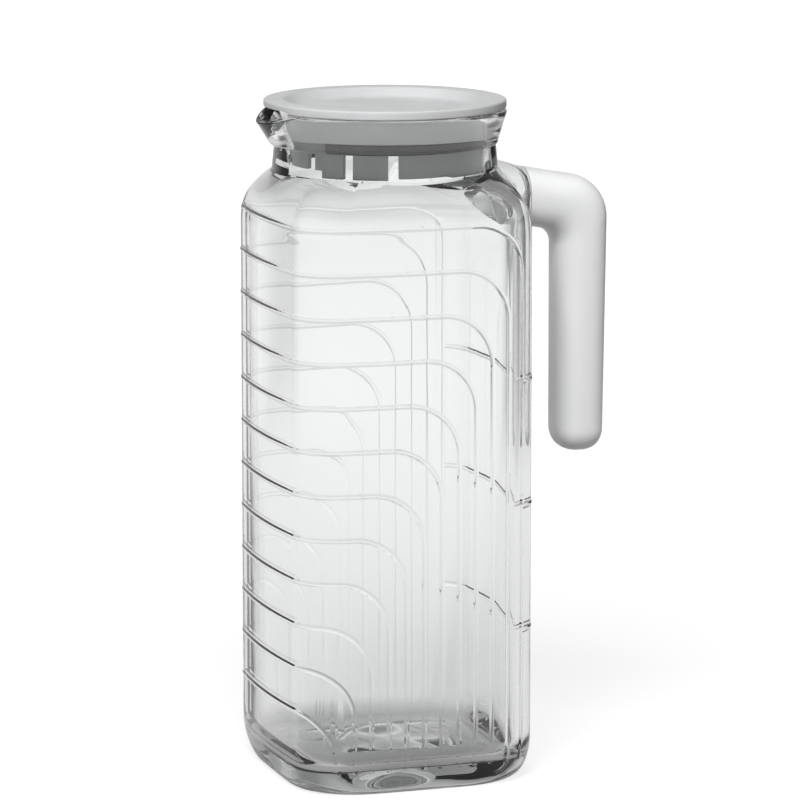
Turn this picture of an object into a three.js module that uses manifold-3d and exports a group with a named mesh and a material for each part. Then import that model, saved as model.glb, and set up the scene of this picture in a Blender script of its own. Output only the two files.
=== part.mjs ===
// Square glass fridge jug with a pour spout, a hook handle and a push-in strainer lid.
// Millimetres, +Z up. The jug stands on Z = 0, its spout points to -X and its handle to +X.
import * as THREE from "three";
import { mergeVertices } from "three/addons/utils/BufferGeometryUtils.js";
import Module from "manifold-3d";

const wasm = await Module();
wasm.setup();

// Glass body
const BODY_WIDTH = 94;
const SIDE_SWELL = 1.5;
const CORNER_RADIUS = 17.4;
const WALL = 3.8;
const INNER_CORNER_RADIUS = 16;
const WALL_TOP = 207.5;
const SHOULDER_HEIGHT = 22.5;
const SHOULDER_FULLNESS = 2.5;
const INNER_SHOULDER_HEIGHT = 17.5;
const INNER_SHOULDER_DROP = 3;
const NECK_HEIGHT = 9.2;
const NECK_RADIUS = 41.6;
const NECK_FOOT_RADIUS = 42.5;
const MOUTH_RADIUS = 38.3;

// Glass foot and floor
const FOOT_WIDTH = 86;
const FOOT_CORNER_RADIUS = 26;
const FOOT_RING_WIDTH = 8;
const HEEL_HEIGHT = 16.5;
const PUSH_UP = 4;
const FLOOR_LEVEL = 8.5;
const FLOOR_FILLET = 9;
const FLOOR_DOME_HEIGHT = 6.5;
const FLOOR_DOME_RADIUS = 27;

// Collar round the mouth, and the spout pressed out of it
const COLLAR_HEIGHT = 13;
const COLLAR_FOOT_RADIUS = 42.6;
const COLLAR_FOOT_ROUND = 1.6;
const COLLAR_RADIUS = 45.7;
const RIM_ROUND = 1.1;
const LEAD_IN_RADIUS = 40;
const LEAD_IN_HEIGHT = 4;
const SPOUT_REACH = 49.8;
const SPOUT_DIP = 3.5;
const SPOUT_HALF_ANGLE = THREE.MathUtils.degToRad(27);

// Raised lines: level across the spout side, turning down on the front and the back
const RIB_WIDTH = 1.9;
const RIB_CREST = 0.8;
const RIB_HEIGHT = 0.5;
const RIB_SINK = 0.4;
const RIB_TOP_RISE = 5.5;
const RIB_PITCH = 16.45;
const RIB_TURN_RADIUS = 19.5;
const RIB_FOOT_LEVEL = 9;
const RUN_DOWN_PAST_CORNER = 10;
const RUN_DOWN_PITCH = 6.7;

// Raised lines across the handle side
const CROSS_RIB_LEVEL = 58.7;
const CROSS_RIB_PITCH = 47.3;
const CROSS_RIB_COUNT = 3;

// Flared boss of the glass that carries the handle
const BOSS_REACH = 7;
const BOSS_FLARE = 14;
const BOSS_RISE = 0.8;

// Handle: an arm that leaves the boss and a grip with a free lower end
const HANDLE_TOP_DROP = 22.6;
const HANDLE_REACH = 87.8;
const HANDLE_LENGTH = 111.5;
const HANDLE_WIDTH = 24;
const ARM_THICKNESS = 22.5;
const ARM_SLOPE = THREE.MathUtils.degToRad(10.5);
const GRIP_THICKNESS = 21;
const GRIP_OUTER_LEAN = THREE.MathUtils.degToRad(0.9);
const GRIP_INNER_LEAN = THREE.MathUtils.degToRad(-0.2);
const HANDLE_OUTER_BEND = 16;
const HANDLE_INNER_BEND = 7;
const HANDLE_END_ROUND = 9;
const HANDLE_SQUARENESS = 2.4;

// Lid cap
const LID_RADIUS = 45.5;
const FLANGE_THICKNESS = 3.5;
const FLANGE_EDGE = 0.5;
const DISH_RADIUS = 38;
const DISH_FLOOR_RADIUS = 34.5;
const DISH_DEPTH = 3.8;
const DISH_PLATE = 2;
const SPIGOT_LENGTH = 5.5;
const SPIGOT_WALL = 2.2;
const NOTCH_HALF_ANGLE = THREE.MathUtils.degToRad(20);
const NOTCH_DEPTH = 1.3;
const NOTCH_LENGTH = 5;

// Strainer skirt under the cap
const SKIRT_DEPTH = 23;
const SKIRT_WALL = 2.6;
const SKIRT_CLEARANCE = 0.9;
const SLOT_COUNT = 7;
const SLOT_WIDTH = 3.8;
const SLOT_HEIGHT = 9.8;
const SLOT_PITCH = THREE.MathUtils.degToRad(25.5);
const POUR_HALF_ANGLE = THREE.MathUtils.degToRad(35);
const POUR_SET_IN = 1;
const POUR_SHORTER_BY = 2.6;

// Seal in the skirt's groove, open towards the spout
const SEAL_HEIGHT = 2.6;
const SEAL_DEPTH = 10.3;
const SEAL_GROOVE = 1.2;
const SEAL_LIP = 0.5;
const SEAL_GAP_HALF_ANGLE = THREE.MathUtils.degToRad(38);

// Clearance between pieces that touch
const FIT_GAP = 0.3;

// Facets
const FLAT_STEPS = 6;
const CORNER_STEPS = 6;
const HEEL_STEPS = 5;
const SHOULDER_STEPS = 6;
const BOSS_STEPS = 5;
const FILLET_STEPS = 3;
const DOME_STEPS = 3;
const COLLAR_STEPS = 4;
const RIB_FOOT_STEPS = 2;
const TURN_STEPS = 6;
const BEND_STEPS = 8;
const HANDLE_SIDES = 24;
const END_STEPS = 5;
const LATHE_STEPS = 60;

// Levels and outlines that follow from the sizes above
const BODY_HALF = BODY_WIDTH / 2;
const BODY_FLAT = BODY_HALF - CORNER_RADIUS;
const NECK_BASE = WALL_TOP + SHOULDER_HEIGHT;
const COLLAR_FOOT = NECK_BASE + NECK_HEIGHT;
const RIM_TOP = COLLAR_FOOT + COLLAR_HEIGHT;
const BOSS_FACE = BODY_HALF + BOSS_REACH;
const FLANGE_BOTTOM = RIM_TOP + FIT_GAP;
const LID_TOP = FLANGE_BOTTOM + FLANGE_THICKNESS;
const SKIRT_RADIUS = MOUTH_RADIUS - SKIRT_CLEARANCE;
const SKIRT_BORE = SKIRT_RADIUS - SKIRT_WALL;
const SKIRT_TOP = FLANGE_BOTTOM - FIT_GAP;
const SKIRT_BOTTOM = FLANGE_BOTTOM - SKIRT_DEPTH;
const GROOVE_RADIUS = SKIRT_RADIUS - SEAL_GROOVE;
const SEAL_BOTTOM = RIM_TOP - SEAL_DEPTH - SEAL_HEIGHT / 2;
const SEAL_TOP = SEAL_BOTTOM + SEAL_HEIGHT;
const SPOUT_ANGLE = Math.PI;
const CUT_MARGIN = 1;

const mix = THREE.MathUtils.lerp;

// Distance from the centre of a square with rounded corners to its outline, along an angle
function roundedSquare(half, corner, angle) {
  const along = Math.abs(Math.cos(angle));
  const across = Math.abs(Math.sin(angle));
  const flat = half - corner;
  if (half * Math.min(along, across) <= flat * Math.max(along, across)) {
    return half / Math.max(along, across);
  }
  return flat * (along + across) + Math.sqrt(corner ** 2 - (flat * (along - across)) ** 2);
}

// The same for a square whose sides swell: arcs that run into the corners without a crease
function swollenSquare(half, corner, angle) {
  const along = Math.max(Math.abs(Math.cos(angle)), Math.abs(Math.sin(angle)));
  const across = Math.min(Math.abs(Math.cos(angle)), Math.abs(Math.sin(angle)));
  const flat = half - corner;
  const sideRadius = corner + (flat ** 2 + SIDE_SWELL ** 2) / (2 * SIDE_SWELL);
  const setBack = sideRadius - half - SIDE_SWELL;
  const cornerStart = Math.atan2(flat, flat + setBack);
  const startAlong = flat + corner * Math.cos(cornerStart);
  const startAcross = flat + corner * Math.sin(cornerStart);
  if (across * startAlong <= along * startAcross) {
    return Math.sqrt(sideRadius ** 2 - (setBack * across) ** 2) - setBack * along;
  }
  return flat * (along + across) + Math.sqrt(corner ** 2 - (flat * (along - across)) ** 2);
}

// Angles at which every ring of the glass has its points: along the flats and round the corners
function outlineAngles() {
  const angles = [];
  for (let face = 0; face < 4; face += 1) {
    const facing = (face * Math.PI) / 2;
    for (let i = 0; i < FLAT_STEPS; i += 1) {
      angles.push(facing + Math.atan2(BODY_FLAT * ((2 * i) / FLAT_STEPS - 1), BODY_HALF));
    }
    for (let i = 0; i < CORNER_STEPS; i += 1) {
      const turn = ((Math.PI / 2) * i) / CORNER_STEPS;
      const x = BODY_FLAT + CORNER_RADIUS * Math.cos(turn);
      const y = BODY_FLAT + CORNER_RADIUS * Math.sin(turn);
      angles.push(facing + Math.atan2(y, x));
    }
  }
  return angles;
}

const ANGLES = outlineAngles();

// One ring of points round the axis, with its radius and level given for each angle
function ringOf(radiusAt, levelAt) {
  return ANGLES.map((angle) => {
    const radius = radiusAt(angle);
    return new THREE.Vector3(radius * Math.cos(angle), radius * Math.sin(angle), levelAt(angle));
  });
}

function levelRing(radiusAt, level) {
  return ringOf(radiusAt, () => level);
}

// Closed skin through a row of rings that turn the same way, ending in a point at either end
function loft(rings, startPoint, endPoint) {
  const sides = rings[0].length;
  const points = [...rings.flat(), startPoint, endPoint];
  const start = rings.length * sides;
  const last = start - sides;
  const index = [];
  for (let i = 0; i < sides; i += 1) {
    const next = (i + 1) % sides;
    index.push(start, next, i);
    for (let base = 0; base < last; base += sides) {
      index.push(base + i, base + next, base + sides + next);
      index.push(base + i, base + sides + next, base + sides + i);
    }
    index.push(last + i, last + next, start + 1);
  }
  const geometry = new THREE.BufferGeometry().setFromPoints(points);
  geometry.setIndex(index);
  return geometry;
}

// Turns a profile of [radius, level] pairs round the axis. The profile runs up its outer side
function lathe(profile) {
  const points = profile.map(([radius, level]) => new THREE.Vector2(radius, level));
  return new THREE.LatheGeometry(points, LATHE_STEPS).rotateX(Math.PI / 2);
}

// Block that fills the part of a ring within half an angle of the spout's direction
function ringSector(innerRadius, outerRadius, halfAngle, bottom, top) {
  const shape = new THREE.Shape();
  shape.absarc(0, 0, outerRadius, SPOUT_ANGLE - halfAngle, SPOUT_ANGLE + halfAngle, false);
  shape.absarc(0, 0, innerRadius, SPOUT_ANGLE + halfAngle, SPOUT_ANGLE - halfAngle, true);
  const block = new THREE.ExtrudeGeometry(shape, { depth: top - bottom, bevelEnabled: false });
  return block.translate(0, 0, bottom);
}

// Closed geometry to a solid that can be joined and cut, and back
function solidFrom(geometry) {
  const bare = geometry.clone();
  bare.deleteAttribute("normal");
  bare.deleteAttribute("uv");
  const merged = mergeVertices(bare);
  const corners = merged.index.array;
  const triangles = [];
  for (let i = 0; i < corners.length; i += 3) {
    const [a, b, c] = corners.slice(i, i + 3);
    if (a !== b && b !== c && c !== a) triangles.push(a, b, c);
  }
  return new wasm.Manifold(new wasm.Mesh({
    numProp: 3,
    vertProperties: new Float32Array(merged.attributes.position.array),
    triVerts: new Uint32Array(triangles),
  }));
}

function geometryFrom(solid) {
  const mesh = solid.getMesh();
  const geometry = new THREE.BufferGeometry();
  geometry.setAttribute("position", new THREE.BufferAttribute(mesh.vertProperties, 3));
  geometry.setIndex(new THREE.BufferAttribute(mesh.triVerts, 1));
  geometry.computeVertexNormals();
  return geometry;
}

const bodyRadius = (angle) => swollenSquare(BODY_HALF, CORNER_RADIUS, angle);
const innerRadius = (angle) => swollenSquare(BODY_HALF - WALL, INNER_CORNER_RADIUS, angle);
const footRadius = (angle) => roundedSquare(FOOT_WIDTH / 2, FOOT_CORNER_RADIUS, angle);

// How far a shoulder has opened from its round neck to its square wall, at a share of its drop
const openedAt = (drop) => 1 - (1 - drop) ** SHOULDER_FULLNESS;

// Ring of a shoulder, from the neck (step 0) to the wall (last step)
function shoulderRing(squareAt, round, step, topLevel, height) {
  const drop = step / SHOULDER_STEPS;
  const share = openedAt(drop);
  return levelRing((angle) => mix(round, squareAt(angle), share), topLevel - height * drop);
}

// Distance of the glass's outer skin from the axis, anywhere between the foot and the neck
function skinRadius(angle, level) {
  const heelDrop = Math.max(HEEL_HEIGHT - level, 0) / HEEL_HEIGHT;
  const foot = mix(footRadius(angle), bodyRadius(angle), Math.sqrt(1 - heelDrop ** 2));
  const shoulderDrop = Math.min((NECK_BASE - level) / SHOULDER_HEIGHT, 1);
  return mix(NECK_FOOT_RADIUS, foot, openedAt(shoulderDrop));
}

// Strength of the spout at an angle: 1 in the middle of the lip, 0 at its sides
function spoutShare(angle) {
  const off = Math.abs(angle - SPOUT_ANGLE) / SPOUT_HALF_ANGLE;
  return off < 1 ? Math.cos((Math.PI / 2) * off) ** 2 : 0;
}

// Ring of the collar at a height above its foot, pressed out and down at the spout.
// A low fullness gives a round cheek, a high one a channel that deepens towards the lip.
function collarRing(radius, height, fullness) {
  const rise = height / COLLAR_HEIGHT;
  const push = (SPOUT_REACH - COLLAR_RADIUS) * rise ** fullness;
  const dip = SPOUT_DIP * rise ** 2;
  return ringOf(
    (angle) => radius + push * spoutShare(angle),
    (angle) => COLLAR_FOOT + height - dip * spoutShare(angle),
  );
}

const CHEEK = 0.32;
const CHANNEL = 1.5;

// Underside and outer skin of the glass, from the foot up to the rim's outer edge
function outerRings(grow) {
  const rings = [];
  for (let i = 1; i < DOME_STEPS; i += 1) {
    const share = i / DOME_STEPS;
    const level = (PUSH_UP * (1 + Math.cos(Math.PI * share))) / 2 - grow;
    rings.push(levelRing((angle) => (footRadius(angle) - FOOT_RING_WIDTH) * share, level));
  }
  rings.push(levelRing((angle) => footRadius(angle) - FOOT_RING_WIDTH, -grow));
  for (let i = 0; i <= HEEL_STEPS; i += 1) {
    const turn = ((Math.PI / 2) * i) / HEEL_STEPS;
    const share = Math.sin(turn);
    const level = HEEL_HEIGHT * (1 - Math.cos(turn)) - grow * Math.cos(turn);
    rings.push(levelRing((angle) => mix(footRadius(angle), bodyRadius(angle), share) + grow, level));
  }
  const wall = (angle) => bodyRadius(angle) + grow;
  for (let step = SHOULDER_STEPS; step >= 0; step -= 1) {
    rings.push(shoulderRing(wall, NECK_FOOT_RADIUS + grow, step, NECK_BASE, SHOULDER_HEIGHT));
  }
  rings.push(levelRing(() => NECK_RADIUS + grow, COLLAR_FOOT));
  for (let i = 0; i <= COLLAR_STEPS; i += 1) {
    const share = i / COLLAR_STEPS;
    const height = mix(COLLAR_FOOT_ROUND, COLLAR_HEIGHT - RIM_ROUND, share);
    rings.push(collarRing(mix(COLLAR_FOOT_RADIUS, COLLAR_RADIUS, share) + grow, height, CHEEK));
  }
  rings.push(collarRing(COLLAR_RADIUS - RIM_ROUND + grow, COLLAR_HEIGHT, CHEEK));
  return rings;
}

// Mouth, inner wall and floor of the glass, from the rim down
function innerRings() {
  const rings = [collarRing(LEAD_IN_RADIUS, COLLAR_HEIGHT, CHEEK)];
  const bore = COLLAR_HEIGHT - LEAD_IN_HEIGHT;
  for (const height of [bore, bore / 2, 0]) {
    rings.push(collarRing(MOUTH_RADIUS, height, CHANNEL));
  }
  const shoulderTop = NECK_BASE - INNER_SHOULDER_DROP;
  for (let step = 0; step <= SHOULDER_STEPS; step += 1) {
    rings.push(shoulderRing(innerRadius, MOUTH_RADIUS, step, shoulderTop, INNER_SHOULDER_HEIGHT));
  }
  for (let i = 0; i <= FILLET_STEPS; i += 1) {
    const turn = ((Math.PI / 2) * i) / FILLET_STEPS;
    const inset = FLOOR_FILLET * (1 - Math.cos(turn));
    const level = FLOOR_LEVEL + FLOOR_FILLET * (1 - Math.sin(turn));
    rings.push(levelRing((angle) => innerRadius(angle) - inset, level));
  }
  for (let i = DOME_STEPS; i > 0; i -= 1) {
    const share = i / DOME_STEPS;
    const level = FLOOR_LEVEL + (FLOOR_DOME_HEIGHT * (1 + Math.cos(Math.PI * share))) / 2;
    rings.push(levelRing(() => FLOOR_DOME_RADIUS * share, level));
  }
  return rings;
}

// Point on the glass's outer skin: along the outline, counted on straight sides from the middle of
// the spout side towards the front, at a level, and lifted off the surface
const QUARTER_OUTLINE = 2 * BODY_FLAT + (Math.PI / 2) * CORNER_RADIUS;

function onSkin(along, level, lift) {
  const face = Math.round(along / QUARTER_OUTLINE);
  const offset = along - face * QUARTER_OUTLINE;
  const side = Math.sign(offset);
  const onFlat = Math.min(Math.abs(offset), BODY_FLAT);
  const turn = (Math.abs(offset) - onFlat) / CORNER_RADIUS;
  const x = BODY_FLAT + (CORNER_RADIUS + lift) * Math.cos(turn);
  const y = side * (onFlat + (CORNER_RADIUS + lift) * Math.sin(turn));
  const angle = Math.atan2(y, x);
  const draw = skinRadius(angle, level) / roundedSquare(BODY_HALF, CORNER_RADIUS, angle);
  const point = new THREE.Vector3(x * draw, y * draw, level);
  return point.applyAxisAngle(new THREE.Vector3(0, 0, 1), SPOUT_ANGLE + (face * Math.PI) / 2);
}

// Places along the outline between two others: the facets of the sides and of the corners
function outlineStops(from, to) {
  const stops = [];
  const facet = ((Math.PI / 2) * CORNER_RADIUS) / CORNER_STEPS;
  for (let face = -2; face < 4; face += 1) {
    for (let i = 1; i < FLAT_STEPS; i += 1) {
      stops.push(face * QUARTER_OUTLINE + BODY_FLAT * ((2 * i) / FLAT_STEPS - 1));
    }
    for (let i = 0; i <= CORNER_STEPS; i += 1) {
      stops.push(face * QUARTER_OUTLINE + BODY_FLAT + i * facet);
    }
  }
  return stops.filter((stop) => stop > from + facet / 4 && stop < to - facet / 4);
}

// Raised line of trapezoid section along a row of [along, level] places on the skin
function ribAlong(path) {
  const section = [
    [-RIB_WIDTH / 2, -RIB_SINK],
    [RIB_WIDTH / 2, -RIB_SINK],
    [RIB_CREST / 2, RIB_HEIGHT],
    [-RIB_CREST / 2, RIB_HEIGHT],
  ];
  const rings = path.map(([along, level], i) => {
    const before = path[Math.max(i - 1, 0)];
    const after = path[Math.min(i + 1, path.length - 1)];
    const heading = Math.atan2(after[1] - before[1], after[0] - before[0]);
    return section.map(([across, lift]) => (
      onSkin(along - across * Math.sin(heading), level + across * Math.cos(heading), lift)
    ));
  });
  const [first, last] = [path[0], path[path.length - 1]];
  return loft(rings, onSkin(...first, 0), onSkin(...last, 0));
}

// Line k of the nest: level round the spout side, then a quarter turn down on the front and the back
function nestedRib(k) {
  const level = WALL_TOP + RIB_TOP_RISE - k * RIB_PITCH;
  const runDown = QUARTER_OUTLINE + BODY_FLAT + RUN_DOWN_PAST_CORNER - k * RUN_DOWN_PITCH;
  const turnStart = runDown - RIB_TURN_RADIUS;
  const half = [];
  for (let i = 0; i <= TURN_STEPS; i += 1) {
    const turn = ((Math.PI / 2) * i) / TURN_STEPS;
    const along = turnStart + RIB_TURN_RADIUS * Math.sin(turn);
    half.push([along, level - RIB_TURN_RADIUS * (1 - Math.cos(turn))]);
  }
  const runEnd = Math.min(HEEL_HEIGHT, level - RIB_TURN_RADIUS);
  for (let i = 0; i <= RIB_FOOT_STEPS; i += 1) {
    const at = mix(runEnd, RIB_FOOT_LEVEL, i / RIB_FOOT_STEPS);
    if (at < level - RIB_TURN_RADIUS) half.push([runDown, at]);
  }
  const back = half.map(([along, at]) => [-along, at]).reverse();
  const across = outlineStops(-turnStart, turnStart).map((along) => [along, level]);
  return ribAlong([...back, ...across, ...half]);
}

function nestedRibCount() {
  const byLevel = (WALL_TOP + RIB_TOP_RISE - RIB_TURN_RADIUS - RIB_FOOT_LEVEL) / RIB_PITCH;
  const start = QUARTER_OUTLINE + BODY_FLAT + RUN_DOWN_PAST_CORNER - RIB_TURN_RADIUS;
  return Math.floor(Math.min(byLevel, start / RUN_DOWN_PITCH)) + 1;
}

// Level line across the handle side, between the first run-downs of the front and the back
function crossRib(k) {
  const from = QUARTER_OUTLINE + BODY_FLAT + RUN_DOWN_PAST_CORNER;
  const to = 4 * QUARTER_OUTLINE - from;
  const level = CROSS_RIB_LEVEL + k * CROSS_RIB_PITCH;
  return ribAlong([from, ...outlineStops(from, to), to].map((along) => [along, level]));
}

function jugBody() {
  const rings = [...outerRings(0), ...innerRings()];
  const underside = new THREE.Vector3(0, 0, PUSH_UP);
  const floor = new THREE.Vector3(0, 0, FLOOR_LEVEL + FLOOR_DOME_HEIGHT);
  let glass = solidFrom(loft(rings, underside, floor)).add(handleBoss());
  for (let k = 0; k < nestedRibCount(); k += 1) {
    glass = glass.add(solidFrom(nestedRib(k)));
  }
  for (let k = 0; k < CROSS_RIB_COUNT; k += 1) {
    glass = glass.add(solidFrom(crossRib(k)));
  }
  return glass;
}

// Whole space inside a skin in the middle of the glass wall
function midWallSpace() {
  const underside = new THREE.Vector3(0, 0, PUSH_UP + WALL / 2);
  const top = new THREE.Vector3(0, 0, RIM_TOP);
  return solidFrom(loft(outerRings(-WALL / 2), underside, top));
}

// Boss that swells out of the shoulder and the wall to the handle's root
function handleBoss() {
  const rootX = NECK_RADIUS - WALL;
  const rings = [];
  for (let i = 0; i <= BOSS_STEPS; i += 1) {
    const x = mix(rootX, BOSS_FACE, (i / BOSS_STEPS) ** 0.5);
    const flare = Math.min((BOSS_FACE - x) / BOSS_REACH, 1) ** 1.5;
    const top = new THREE.Vector2(x, armTop(x) + BOSS_RISE * flare);
    const bottom = new THREE.Vector2(x, armTop(x) - ARM_THICKNESS - BOSS_RISE * flare);
    rings.push(handleRing(bottom, top, HANDLE_WIDTH / 2 + BOSS_FLARE * flare));
  }
  const root = new THREE.Vector3(rootX, 0, armTop(rootX) - ARM_THICKNESS / 2);
  const face = new THREE.Vector3(BOSS_FACE, 0, armTop(BOSS_FACE) - ARM_THICKNESS / 2);
  return solidFrom(loft(rings, root, face)).subtract(midWallSpace());
}

// Step in the X-Z plane: forwards along a heading and to the left of it
function stepBy(forwards, left, heading) {
  return new THREE.Vector2(forwards, left).rotateAround(new THREE.Vector2(), heading);
}

// Points from a straight run into a round bend and on: start, the bend's arc, then the end.
// In the X-Z plane, turning clockwise by the angle between the two headings.
function bentLine(start, heading, corner, endHeading, length, radius) {
  const turn = heading - endHeading;
  const bendStart = corner.clone().sub(stepBy(radius * Math.tan(turn / 2), 0, heading));
  const points = [start];
  for (let i = 0; i <= BEND_STEPS; i += 1) {
    const angle = (turn * i) / BEND_STEPS;
    const step = stepBy(radius * Math.sin(angle), radius * (Math.cos(angle) - 1), heading);
    points.push(bendStart.clone().add(step));
  }
  points.push(corner.clone().add(stepBy(length, 0, endHeading)));
  return points;
}

// Section of the handle between a point on its inner line and one on its outer line
function handleRing(inner, outer, halfWidth) {
  const middle = inner.clone().add(outer).multiplyScalar(0.5);
  const reach = outer.clone().sub(middle);
  const points = [];
  for (let i = 0; i < HANDLE_SIDES; i += 1) {
    const angle = (2 * Math.PI * i) / HANDLE_SIDES;
    const out = Math.sign(Math.cos(angle)) * Math.abs(Math.cos(angle)) ** (2 / HANDLE_SQUARENESS);
    const side = Math.sign(Math.sin(angle)) * Math.abs(Math.sin(angle)) ** (2 / HANDLE_SQUARENESS);
    points.push(new THREE.Vector3(middle.x + reach.x * out, -halfWidth * side, middle.y + reach.y * out));
  }
  return points;
}

// Level of the arm's upper side at a distance from the jug's axis
function armTop(x) {
  return RIM_TOP - HANDLE_TOP_DROP - (x - BODY_HALF) * Math.tan(ARM_SLOPE);
}

// One long side of the handle, from its root along the arm, round the bend and down the grip
function handleLine(x, drop, lean, bend, gripEnd) {
  const rootX = BOSS_FACE + FIT_GAP;
  const corner = new THREE.Vector2(x, armTop(x) - drop);
  const root = new THREE.Vector2(rootX, armTop(rootX) - drop);
  const run = (corner.y - gripEnd) / Math.cos(lean);
  return bentLine(root, -ARM_SLOPE, corner, -Math.PI / 2 - lean, run, bend);
}

function handle() {
  const gripEnd = RIM_TOP - HANDLE_TOP_DROP - HANDLE_LENGTH + HANDLE_END_ROUND;
  const outer = handleLine(HANDLE_REACH, 0, GRIP_OUTER_LEAN, HANDLE_OUTER_BEND, gripEnd);
  const innerX = HANDLE_REACH - GRIP_THICKNESS;
  const inner = handleLine(innerX, ARM_THICKNESS, GRIP_INNER_LEAN, HANDLE_INNER_BEND, gripEnd);
  const rings = inner.map((point, i) => handleRing(point, outer[i], HANDLE_WIDTH / 2));
  const [lastInner, lastOuter] = [inner[inner.length - 1], outer[outer.length - 1]];
  const end = lastInner.clone().add(lastOuter).multiplyScalar(0.5);
  for (let i = 1; i < END_STEPS; i += 1) {
    const turn = ((Math.PI / 2) * i) / END_STEPS;
    const share = Math.cos(turn) ** 0.7;
    const shift = new THREE.Vector2(0, -HANDLE_END_ROUND * Math.sin(turn));
    const [from, to] = [lastInner, lastOuter].map((point) => end.clone().lerp(point, share).add(shift));
    rings.push(handleRing(from, to, (HANDLE_WIDTH / 2) * share));
  }
  const root = inner[0].clone().add(outer[0]).multiplyScalar(0.5);
  const rootMiddle = new THREE.Vector3(root.x, 0, root.y);
  const tip = new THREE.Vector3(end.x, 0, gripEnd - HANDLE_END_ROUND);
  return solidFrom(loft(rings, rootMiddle, tip));
}

// Cap: a flange that sits on the rim, a dished top and a spigot that carries the skirt
function lidCap() {
  const spigot = SKIRT_BORE - FIT_GAP;
  const dishFloor = LID_TOP - DISH_DEPTH;
  const plateBottom = dishFloor - DISH_PLATE;
  const body = solidFrom(lathe([
    [0, plateBottom],
    [spigot - SPIGOT_WALL, plateBottom],
    [spigot - SPIGOT_WALL, FLANGE_BOTTOM - SPIGOT_LENGTH],
    [spigot, FLANGE_BOTTOM - SPIGOT_LENGTH],
    [spigot, FLANGE_BOTTOM],
    [LID_RADIUS - FLANGE_EDGE, FLANGE_BOTTOM],
    [LID_RADIUS, FLANGE_BOTTOM + FLANGE_EDGE],
    [LID_RADIUS, LID_TOP - FLANGE_EDGE],
    [LID_RADIUS - FLANGE_EDGE, LID_TOP],
    [DISH_RADIUS, LID_TOP],
    [DISH_FLOOR_RADIUS, dishFloor],
    [0, dishFloor],
  ]));
  const notchTop = FLANGE_BOTTOM + NOTCH_DEPTH;
  const notchStart = LID_RADIUS - NOTCH_LENGTH;
  const notchEnd = LID_RADIUS + CUT_MARGIN;
  const notch = ringSector(notchStart, notchEnd, NOTCH_HALF_ANGLE, FLANGE_BOTTOM - CUT_MARGIN, notchTop);
  return body.subtract(solidFrom(notch));
}

// Strainer: a skirt with a seal groove, slots on the spout's half and a set-in pouring side
function lidStrainer() {
  const grooveBottom = SEAL_BOTTOM - FIT_GAP;
  const grooveTop = SEAL_TOP + FIT_GAP;
  let skirt = solidFrom(lathe([
    [SKIRT_BORE, SKIRT_BOTTOM],
    [SKIRT_RADIUS, SKIRT_BOTTOM],
    [SKIRT_RADIUS, grooveBottom],
    [GROOVE_RADIUS, grooveBottom],
    [GROOVE_RADIUS, grooveTop],
    [SKIRT_RADIUS, grooveTop],
    [SKIRT_RADIUS, SKIRT_TOP],
    [SKIRT_BORE, SKIRT_TOP],
    [SKIRT_BORE, SKIRT_BOTTOM],
  ]));
  const outside = SKIRT_RADIUS + CUT_MARGIN;
  const below = SKIRT_BOTTOM - CUT_MARGIN;
  const face = SKIRT_RADIUS - POUR_SET_IN;
  const setIn = ringSector(face, outside, POUR_HALF_ANGLE, below, SKIRT_TOP + CUT_MARGIN);
  const inside = SKIRT_BORE - CUT_MARGIN;
  const shorter = ringSector(inside, outside, POUR_HALF_ANGLE, below, SKIRT_BOTTOM + POUR_SHORTER_BY);
  skirt = skirt.subtract(solidFrom(setIn)).subtract(solidFrom(shorter));
  const slotHeight = SLOT_HEIGHT + CUT_MARGIN;
  const slotLength = outside - inside;
  for (let i = 0; i < SLOT_COUNT; i += 1) {
    const angle = SPOUT_ANGLE + (i - (SLOT_COUNT - 1) / 2) * SLOT_PITCH;
    const slot = new THREE.BoxGeometry(slotLength, SLOT_WIDTH, slotHeight);
    slot.translate((inside + outside) / 2, 0, below + slotHeight / 2).rotateZ(angle);
    skirt = skirt.subtract(solidFrom(slot));
  }
  return skirt;
}

// Seal: a lipped ring in the skirt's groove, open on the pouring side
function lidSeal() {
  const inner = GROOVE_RADIUS + FIT_GAP;
  const outer = MOUTH_RADIUS - FIT_GAP;
  const ring = solidFrom(lathe([
    [inner, SEAL_BOTTOM],
    [outer - SEAL_LIP, SEAL_BOTTOM],
    [outer, SEAL_BOTTOM + SEAL_LIP],
    [outer, SEAL_TOP - SEAL_LIP],
    [outer - SEAL_LIP, SEAL_TOP],
    [inner, SEAL_TOP],
    [inner, SEAL_BOTTOM],
  ]));
  const from = inner - CUT_MARGIN;
  const to = outer + CUT_MARGIN;
  const gap = ringSector(from, to, SEAL_GAP_HALF_ANGLE, SEAL_BOTTOM - CUT_MARGIN, SEAL_TOP + CUT_MARGIN);
  return ring.subtract(solidFrom(gap));
}

const clearGlass = new THREE.MeshStandardMaterial({
  color: 0xe9eeee, roughness: 0.03, metalness: 0, transparent: true, opacity: 0.35,
});
const satinGlass = new THREE.MeshStandardMaterial({ color: 0xe4e6e7, roughness: 0.35, metalness: 0 });
const lidPlastic = new THREE.MeshStandardMaterial({ color: 0xc9cacb, roughness: 0.45, metalness: 0 });
const skirtPlastic = new THREE.MeshStandardMaterial({ color: 0x8d8f91, roughness: 0.5, metalness: 0 });
const sealRubber = new THREE.MeshStandardMaterial({ color: 0x6f7173, roughness: 0.7, metalness: 0 });

function piece(name, solid, material) {
  const mesh = new THREE.Mesh(geometryFrom(solid), material);
  mesh.name = name;
  return mesh;
}

const lid = new THREE.Group();
lid.add(
  piece("lid_cap", lidCap(), lidPlastic),
  piece("lid_strainer", lidStrainer(), skirtPlastic),
  piece("lid_seal", lidSeal(), sealRubber),
);

const jug = new THREE.Group();
jug.add(piece("jug_body", jugBody(), clearGlass), piece("handle", handle(), satinGlass), lid);

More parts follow.
